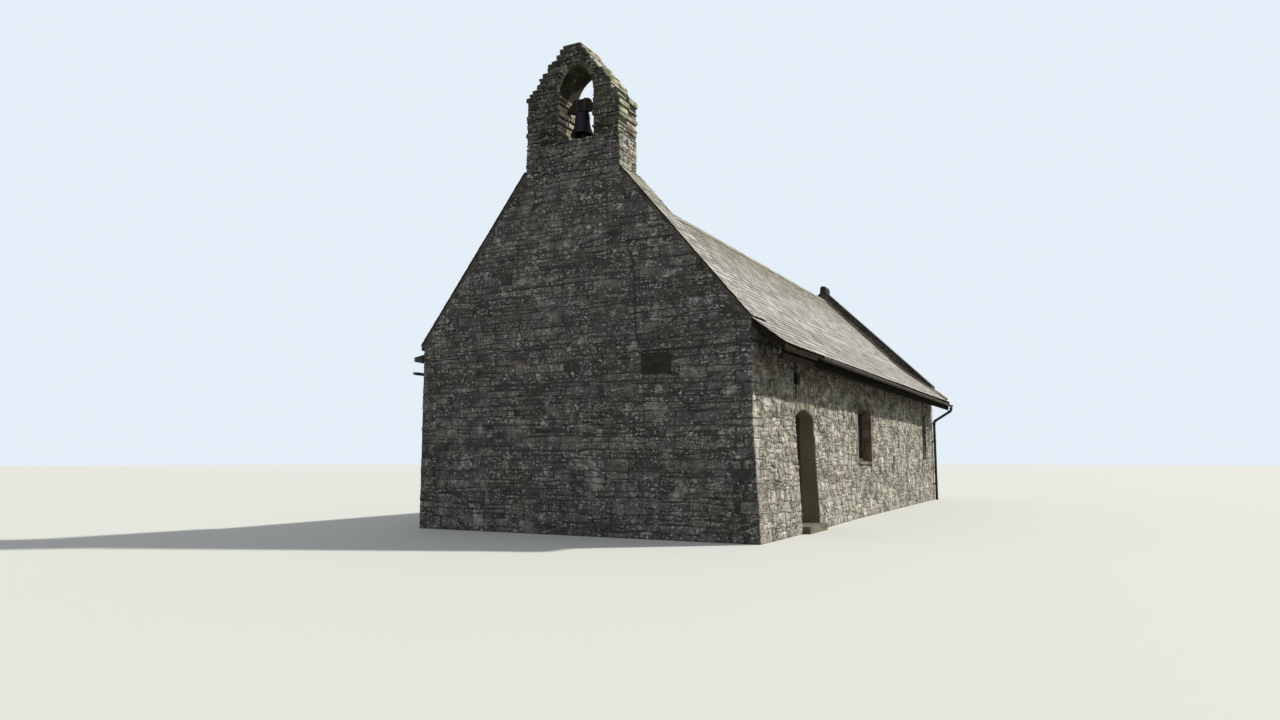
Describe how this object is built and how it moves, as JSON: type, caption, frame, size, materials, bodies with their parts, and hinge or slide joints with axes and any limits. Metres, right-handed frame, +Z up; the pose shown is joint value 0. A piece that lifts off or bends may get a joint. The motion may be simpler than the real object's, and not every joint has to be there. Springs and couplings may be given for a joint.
{
  "type": "small stone chapel with a bellcote",
  "caption": "Small rubble-stone chapel with a slate roof, a raised west gable that carries a bellcote with a hanging bell, and a boarded side door.",
  "frame": {"origin": "middle of the plan on the lowest ground, under the floor", "axes": "+Z up, +Y from the west gable to the east gable, +X to the south side with the door"},
  "size_m": [7.2938, 15.805, 8.43],
  "materials": {
    "gable_stone": "rough dark rubble masonry",
    "wall_stone": "rough pale rubble masonry",
    "bellcote_stone": "thin rough slabs with moss",
    "brick": "old red brick",
    "flagstone": "riven weathered flags",
    "dark_coping": "dark weathered coping",
    "dressed_stone": "roughly dressed stone",
    "slate_roof": "small lichened slates",
    "old_timber": "dark aged timber",
    "door_timber": "aged boards",
    "painted_timber": "weathered paint",
    "window_glass": "plain old glass",
    "cast_gutter": "painted cast iron",
    "wrought_iron": "dark rusty iron",
    "bell_metal": "dark weathered bell metal",
    "plaque_slate": "smooth dark slate, bare",
    "cable_sheath": "dull black sheath",
    "porcelain": "white glaze",
    "box_plastic": "dull black",
    "floor_flags": "worn flags"
  },
  "bodies": {
    "building": {"west_gable": "gable_stone", "bellcote_base": "bellcote_stone", "bellcote_north_pier": "bellcote_stone", "bellcote_south_pier": "bellcote_stone", "bellcote_arch": "bellcote_stone", "bellcote_gablet": "bellcote_stone", "west_coping_south": "flagstone", "west_coping_north": "flagstone", "west_kneelers": "flagstone", "south_wall_west": "wall_stone", "south_wall_over_door": "wall_stone", "south_wall_nave": "wall_stone", "south_wall_chancel": "wall_stone", "door_arch": "dressed_stone", "threshold": "dressed_stone", "door_frame": "painted_timber", "door_pintles": "wrought_iron", "north_wall": "wall_stone", "east_gable": "gable_stone", "east_copings": "dark_coping", "east_kneelers": "dark_coping", "apex_stone": "dark_coping", "south_roof": "slate_roof", "north_roof": "slate_roof", "ridge_tiles": "slate_roof", "principal_rafters": "old_timber", "collars": "old_timber", "purlins": "old_timber", "wall_plates": "old_timber", "rafter_feet": "old_timber", "eaves_board": "old_timber", "south_gutter": "cast_gutter", "north_gutter": "cast_gutter", "gutter_brackets": "cast_gutter", "downpipe": "cast_gutter", "window_frames": "painted_timber", "window_glass": "window_glass", "window_sills": "dressed_stone", "window_lintels": "dressed_stone", "brick_jambs": "brick", "plaque": "plaque_slate", "cable": "cable_sheath", "insulators": "porcelain", "junction_box": "box_plastic", "bell_bearings": "wrought_iron", "floor_slab": "floor_flags"},
    "bell_body": {"bell": "bell_metal", "headstock": "old_timber", "bell_ironwork": "wrought_iron", "clapper": "wrought_iron"},
    "door_body": {"door_leaf": "door_timber", "door_ironwork": "wrought_iron"}
  },
  "joints": [
    {"name": "bell_swing", "type": "hinge", "parent": "building", "child": "bell_body", "pos_m": [0.055, -7.555, 7.355], "axis": [1, 0, 0], "range_deg": [-32, 32]},
    {"name": "door_hinge", "type": "hinge", "parent": "building", "child": "door_body", "pos_m": [2.855, -5.817, 0.45], "axis": [0, 0, 1], "range_deg": [0, 85]}
  ]
}
